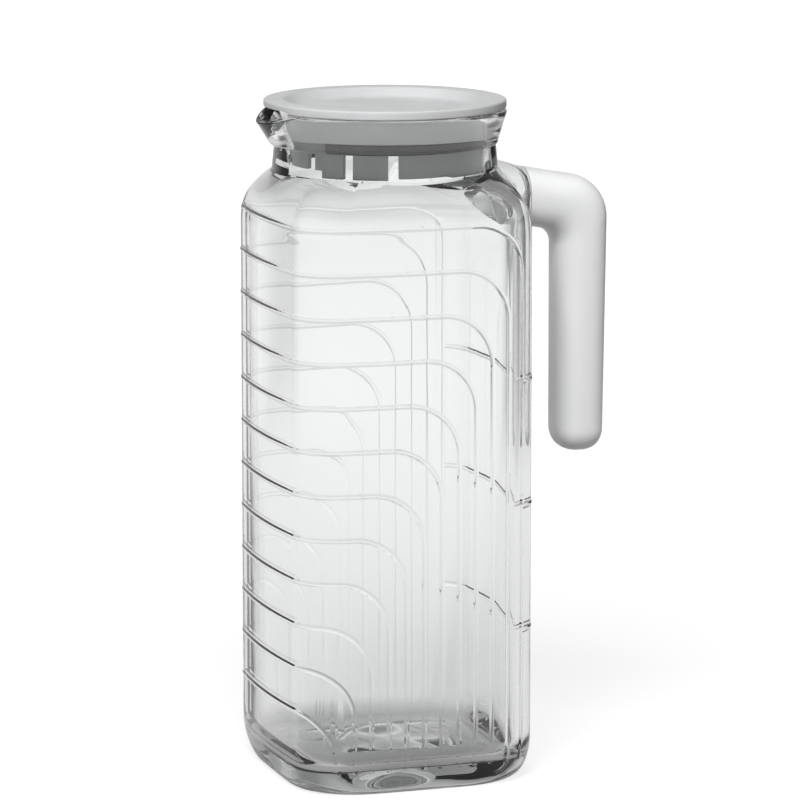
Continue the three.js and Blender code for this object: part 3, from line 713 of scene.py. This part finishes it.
def lid_strainer(plug_painted_light_material, skirt_painted_shade_material):
    """The skirt in two painted tones of one plastic: a plug above the seal painted light to make up
    for the flange's shade, and a strainer from there down painted darker as shade.
    """
    groove_bottom, groove_top = SEAL_BOTTOM - FIT_GAP, SEAL_TOP + FIT_GAP
    strainer = [
        (SKIRT_BORE, SKIRT_BOTTOM),
        (SKIRT_RADIUS, SKIRT_BOTTOM),
        (SKIRT_RADIUS, groove_bottom),
        (GROOVE_RADIUS, groove_bottom),
        (GROOVE_RADIUS, groove_top - TONE_SEAM),
        (SKIRT_BORE, groove_top - TONE_SEAM),
    ]
    plug = [
        (SKIRT_BORE, groove_top),
        (SKIRT_RADIUS, groove_top),
        (SKIRT_RADIUS, SKIRT_TOP),
        (SKIRT_BORE, SKIRT_TOP),
    ]
    skirt_piece("strainer_skirt", strainer, (0, 1, 2), skirt_painted_shade_material)
    skirt_piece("strainer_plug", plug, (1, 2), plug_painted_light_material)


def lid_seal(material):
    inner, outer = GROOVE_RADIUS + FIT_GAP, MOUTH_RADIUS - FIT_GAP
    profile = [(inner, SEAL_BOTTOM), (outer, SEAL_BOTTOM), (outer, SEAL_TOP), (inner, SEAL_TOP)]
    edges = {0: SEAL_INNER_EDGE, 1: SEAL_OUTER_EDGE, 2: SEAL_OUTER_EDGE, 3: SEAL_INNER_EDGE}
    seal = lathe("seal_ring", round_off(profile, edges))
    combine(seal, ring_sector("gap", inner - CUT_MARGIN, outer + CUT_MARGIN, SEAL_GAP_HALF_ANGLE,
                              SEAL_BOTTOM - CUT_MARGIN, SEAL_TOP + CUT_MARGIN), "DIFFERENCE")
    finish_piece(seal, "seal", "lid_seal", material, PLASTIC_SHARP)


# Materials

GLASS_IOR = 1.5
NOISE_MIDDLE = (0.3, 0.7)
SMOOTHER_BY = 0.05
ROUGHER_BY = 0.06


class Nodes:
    """A material's nodes, with its Principled shader, object coordinates and helpers."""

    def __init__(self, name):
        self.material = bpy.data.materials.new(name)
        self.material.use_nodes = True
        self.tree = self.material.node_tree
        self.shader = self.tree.nodes["Principled BSDF"]
        self.place = self.tree.nodes.new("ShaderNodeTexCoord").outputs["Object"]

    def set(self, **values):
        for key, value in values.items():
            self.shader.inputs[key.replace("_", " ")].default_value = value

    def noise(self, scale, detail):
        node = self.tree.nodes.new("ShaderNodeTexNoise")
        node.inputs["Scale"].default_value = scale
        node.inputs["Detail"].default_value = detail
        self.tree.links.new(self.place, node.inputs["Vector"])
        return node.outputs["Fac"]

    def ramp(self, factor, low, high):
        """Spreads a noise's middle range between two values or colours."""
        node = self.tree.nodes.new("ShaderNodeValToRGB")
        for stop, place, value in zip(node.color_ramp.elements, NOISE_MIDDLE, (low, high)):
            stop.position = place
            stop.color = (*value, 1) if isinstance(value, tuple) else (value, value, value, 1)
        self.tree.links.new(factor, node.inputs["Fac"])
        return node.outputs["Color"]

    def bump(self, height, distance_mm, strength):
        node = self.tree.nodes.new("ShaderNodeBump")
        node.inputs["Strength"].default_value = strength
        node.inputs["Distance"].default_value = distance_mm * MM
        self.tree.links.new(height, node.inputs["Height"])
        self.tree.links.new(node.outputs["Normal"], self.shader.inputs["Normal"])

    def absorb(self, colour, density):
        """Fills the piece with glass that darkens with its thickness."""
        node = self.tree.nodes.new("ShaderNodeVolumeAbsorption")
        node.inputs["Color"].default_value = (*colour, 1)
        node.inputs["Density"].default_value = density
        output = self.tree.nodes["Material Output"]
        self.tree.links.new(node.outputs["Volume"], output.inputs["Volume"])

    def drive(self, socket, output):
        self.tree.links.new(output, self.shader.inputs[socket])


def clear_glass():
    """Pressed glass: clear, with the slow waves that the mould leaves."""
    nodes = Nodes("clear_glass")
    nodes.set(Base_Color=(0.985, 0.99, 0.99, 1), Transmission_Weight=1.0, IOR=GLASS_IOR)
    nodes.drive("Roughness", nodes.ramp(nodes.noise(scale=60, detail=2), low=0.0, high=0.02))
    nodes.bump(nodes.noise(scale=45, detail=1), distance_mm=0.25, strength=0.12)
    nodes.absorb(colour=(0.3, 0.33, 0.32), density=6)
    return nodes.material


def satin_glass():
    """Handle glass with a soft milky skin."""
    nodes = Nodes("satin_glass")
    nodes.set(Transmission_Weight=0.15, IOR=GLASS_IOR)
    nodes.drive("Base Color", nodes.ramp(nodes.noise(scale=35, detail=3),
                                         low=(0.92, 0.925, 0.93), high=(0.97, 0.97, 0.975)))
    nodes.drive("Roughness", nodes.ramp(nodes.noise(scale=90, detail=4), low=0.3, high=0.4))
    nodes.bump(nodes.noise(scale=300, detail=2), distance_mm=0.03, strength=0.15)
    return nodes.material


def plastic(name, low, high, roughness):
    """Moulded plastic with a fine grain and a slight unevenness of colour."""
    nodes = Nodes(name)
    nodes.drive("Base Color", nodes.ramp(nodes.noise(scale=50, detail=3), low, high))
    nodes.drive("Roughness", nodes.ramp(nodes.noise(scale=120, detail=4),
                                        roughness - SMOOTHER_BY, roughness + ROUGHER_BY))
    nodes.bump(nodes.noise(scale=2200, detail=2), distance_mm=0.03, strength=0.2)
    return nodes.material


# Studio

FLOOR_HALF = 6.0
CAMERA_AZIMUTH = math.radians(-18.246)
CAMERA_DISTANCE = 1.8243
CAMERA_HEIGHT = 0.4637
CAMERA_PITCH = math.radians(10.024)
CAMERA_YAW = math.radians(-0.177)
CAMERA_LENS = 220.5
CAMERA_CLIP_END = 50

# Directions as the camera sees them, and the middle of the backdrop
BEHIND = Vector((-math.sin(CAMERA_AZIMUTH), math.cos(CAMERA_AZIMUTH), 0))
LEFT = Vector((-BEHIND.y, BEHIND.x, 0))
BACKDROP_LEAN = 0.22
BACKDROP = (BEHIND + BACKDROP_LEAN * LEFT).normalized()

# Brightness of the world: its sides, gaps and backdrop as the glass shows them, and on the rest
SIDE_LEVEL = 0.62
GAP_LEVEL = 0.28
BACKDROP_LEVEL = 0.5
MATT_LEVEL = 0.22

# Ranges for grow(): start and end, and the levels there. A heading is 1 towards the backdrop's
# middle and -1 away from it, a height is 1 straight up, and a distance is in metres from the axis.
WORLD_BACKDROP_HEADINGS = (0.75, 0.95, 0, BACKDROP_LEVEL)
WORLD_SIDE_HEADINGS = (0.2, 0.6, SIDE_LEVEL, GAP_LEVEL)
WORLD_BACKDROP_HEIGHTS = (0, 0.4, 1, 0.2)
# Seen through the glass the floor's glow is painted light and shade; seen straight it is painted
# light that grows away from the jug
FLOOR_BACKDROP_HEADINGS = (0.8, 0.95, 0, 1)
FLOOR_SIDE_HEADINGS = (0.2, 0.6, SIDE_LEVEL, 0)
FLOOR_PAINTED_LIGHT_ROUND_JUG = (0.5, 1.1, 0.9, 0)
FLOOR_PAINTED_SHADOW_UNDER_JUG = (0.03, 0.09, 0.2, 0.63)
FLOOR_PAINTED_LIGHT_AWAY = (0.15, 0.9, 1, 1.32)
FLOOR_FADES = (1.2, 2.6, 1, 0.72)
FLOOR_PAINTED_LIGHT_SEEN_STRAIGHT = (0.1, 1.2, 0.8, 1)

# Lamps
LAMP_AIM = Vector((0, 0, 0.13))
KEY_PLACE = Vector((0, 0, 1.6)) - 1.25 * BEHIND + 0.15 * LEFT
KEY_SIZE = (0.8, 0.8)
KEY_POWER = 38
FILL_PLACE = Vector((0, 0, 0.75)) - 1.3 * BEHIND + 1.1 * LEFT
FILL_SIZE = (0.7, 0.5)
FILL_POWER = 4


def camera():
    """Camera at the photograph's place: a long lens a little above the lid, left of the front."""
    data = bpy.data.cameras.new("camera")
    data.lens = CAMERA_LENS
    data.clip_end = CAMERA_CLIP_END
    made = bpy.data.objects.new("camera", data)
    bpy.context.scene.collection.objects.link(made)
    made.location = (AXIS_X + math.sin(CAMERA_AZIMUTH) * CAMERA_DISTANCE,
                     -math.cos(CAMERA_AZIMUTH) * CAMERA_DISTANCE, CAMERA_HEIGHT)
    facing = CAMERA_AZIMUTH + CAMERA_YAW
    forward = Vector((-math.sin(facing) * math.cos(CAMERA_PITCH),
                      math.cos(facing) * math.cos(CAMERA_PITCH), -math.sin(CAMERA_PITCH)))
    made.rotation_euler = forward.to_track_quat("-Z", "Y").to_euler()
    bpy.context.scene.camera = made


def grow(tree, value, start, end, low, high):
    """Number that goes smoothly from low to high as a value goes from start to end."""
    node = tree.nodes.new("ShaderNodeMapRange")
    node.interpolation_type = "SMOOTHSTEP"
    for socket, number in zip(node.inputs[1:5], (start, end, low, high)):
        socket.default_value = number
    tree.links.new(value, node.inputs["Value"])
    return node.outputs["Result"]


def vector(tree, operation, place, direction=None):
    """Result of a vector operation on a place, and on a direction where the operation has two."""
    node = tree.nodes.new("ShaderNodeVectorMath")
    node.operation = operation
    tree.links.new(place, node.inputs[0])
    if direction is not None:
        node.inputs[1].default_value = direction
    return node.outputs["Vector" if operation == "NORMALIZE" else "Value"]


def calculate(tree, operation, *values):
    """Result of a calculation on numbers and on other nodes' outputs."""
    node = tree.nodes.new("ShaderNodeMath")
    node.operation = operation
    for socket, value in zip(node.inputs, values):
        if isinstance(value, float):
            socket.default_value = value
        else:
            tree.links.new(value, socket)
    return node.outputs["Value"]


def floor():
    """Pale floor that glows white to the camera over its real shadow, with painted light growing
    away from the jug. Seen through the glass its glow is painted light and shade: a painted shadow
    under the jug, a pool of painted light round it, bright towards the backdrop and dim at the
    sides.
    """
    corners = [(x * FLOOR_HALF, y * FLOOR_HALF, 0) for x, y in ((-1, -1), (1, -1), (1, 1), (-1, 1))]
    mesh = bpy.data.meshes.new("floor")
    mesh.from_pydata(corners, [], [(0, 1, 2, 3)])
    made = bpy.data.objects.new("floor", mesh)
    made.location.x = AXIS_X
    bpy.context.scene.collection.objects.link(made)
    nodes = Nodes("floor")
    tree = nodes.tree
    nodes.set(Base_Color=(0.25, 0.25, 0.25, 1), Roughness=0.8, Specular_IOR_Level=0.1)
    nodes.set(Emission_Color=(1, 1, 1, 1))
    path = tree.nodes.new("ShaderNodeLightPath").outputs
    away = vector(tree, "LENGTH", nodes.place)
    heading = vector(tree, "DOT_PRODUCT", vector(tree, "NORMALIZE", nodes.place), BACKDROP)
    # Glow seen through the glass: bright towards the backdrop, a pool of painted light round the
    # jug, dim at the sides
    white = grow(tree, heading, *FLOOR_BACKDROP_HEADINGS)
    white = calculate(tree, "MAXIMUM", white, grow(tree, away, *FLOOR_PAINTED_LIGHT_ROUND_JUG))
    white = calculate(tree, "MAXIMUM", white, grow(tree, heading, *FLOOR_SIDE_HEADINGS))
    # Painted shadow under the jug, painted light growing away from it, fading far off
    for distances in (FLOOR_PAINTED_SHADOW_UNDER_JUG, FLOOR_PAINTED_LIGHT_AWAY, FLOOR_FADES):
        white = calculate(tree, "MULTIPLY", white, grow(tree, away, *distances))
    in_glass = calculate(tree, "MAXIMUM", path["Is Transmission Ray"], path["Is Glossy Ray"])
    in_glass = calculate(tree, "MULTIPLY", in_glass, white)
    # Glow seen straight: painted light that grows away from the jug where the key lamp's light falls
    # off
    straight = grow(tree, away, *FLOOR_PAINTED_LIGHT_SEEN_STRAIGHT)
    straight = calculate(tree, "MULTIPLY", path["Is Camera Ray"], straight)
    nodes.drive("Emission Strength", calculate(tree, "MAXIMUM", in_glass, straight))
    mesh.materials.append(nodes.material)


def world():
    """Studio: the glass shows a pale backdrop, darker gaps beside it and grey sides."""
    made = bpy.data.worlds.new("studio")
    made.use_nodes = True
    bpy.context.scene.world = made
    tree = made.node_tree
    direction = tree.nodes.new("ShaderNodeTexCoord").outputs["Generated"]
    path = tree.nodes.new("ShaderNodeLightPath").outputs
    heading = vector(tree, "DOT_PRODUCT", direction, BACKDROP)
    height = vector(tree, "DOT_PRODUCT", direction, (0, 0, 1))
    backdrop = calculate(tree, "MULTIPLY", grow(tree, heading, *WORLD_BACKDROP_HEADINGS),
                         grow(tree, height, *WORLD_BACKDROP_HEIGHTS))
    around = calculate(tree, "ADD", backdrop, grow(tree, heading, *WORLD_SIDE_HEADINGS))
    from_matt = path["Is Diffuse Ray"]
    in_glass = calculate(tree, "MULTIPLY", around, calculate(tree, "SUBTRACT", 1.0, from_matt))
    on_matt = calculate(tree, "MULTIPLY", from_matt, MATT_LEVEL)
    level = calculate(tree, "MAXIMUM", in_glass, on_matt)
    level = calculate(tree, "MAXIMUM", level, path["Is Camera Ray"])
    tree.links.new(level, tree.nodes["Background"].inputs["Color"])


def softbox(name, place, size, power):
    """Soft lamp that faces the middle of the jug and leaves no glint on the glass."""
    data = bpy.data.lights.new(name, "AREA")
    data.shape = "RECTANGLE"
    data.size, data.size_y = size
    data.energy = power
    made = bpy.data.objects.new(name, data)
    bpy.context.scene.collection.objects.link(made)
    made.location = place
    made.visible_glossy = False
    made.visible_transmission = False
    aim = LAMP_AIM - made.location
    made.rotation_euler = aim.to_track_quat("-Z", "Y").to_euler()


# The jug and the studio

lid_plastic = plastic("lid_plastic", roughness=0.34,
                      low=(0.51, 0.515, 0.52), high=(0.58, 0.585, 0.59))
# Plug and strainer are one plastic in two tones: the plug painted light against the flange's shade,
# the strainer painted darker as shade
plug_painted_light_plastic = plastic("plug_painted_light_plastic", roughness=0.34,
                       low=(0.8, 0.805, 0.81), high=(0.87, 0.875, 0.88))
skirt_plastic = plastic("skirt_plastic", roughness=0.4,
                        low=(0.36, 0.365, 0.37), high=(0.42, 0.425, 0.43))
# Dark seal ring, a guessed part; its dark colour is partly painted shade for the dark band under the
# collar
seal_rubber = plastic("seal_rubber", roughness=0.6,
                      low=(0.14, 0.14, 0.145), high=(0.19, 0.19, 0.195))

camera()
glass_body(clear_glass())
handle(satin_glass())
lid_cap(lid_plastic)
lid_strainer(plug_painted_light_plastic, skirt_plastic)
lid_seal(seal_rubber)
floor()
world()
softbox("key_light", KEY_PLACE, KEY_SIZE, KEY_POWER)
softbox("side_fill", FILL_PLACE, FILL_SIZE, FILL_POWER)

bpy.context.scene.view_settings.view_transform = "Standard"
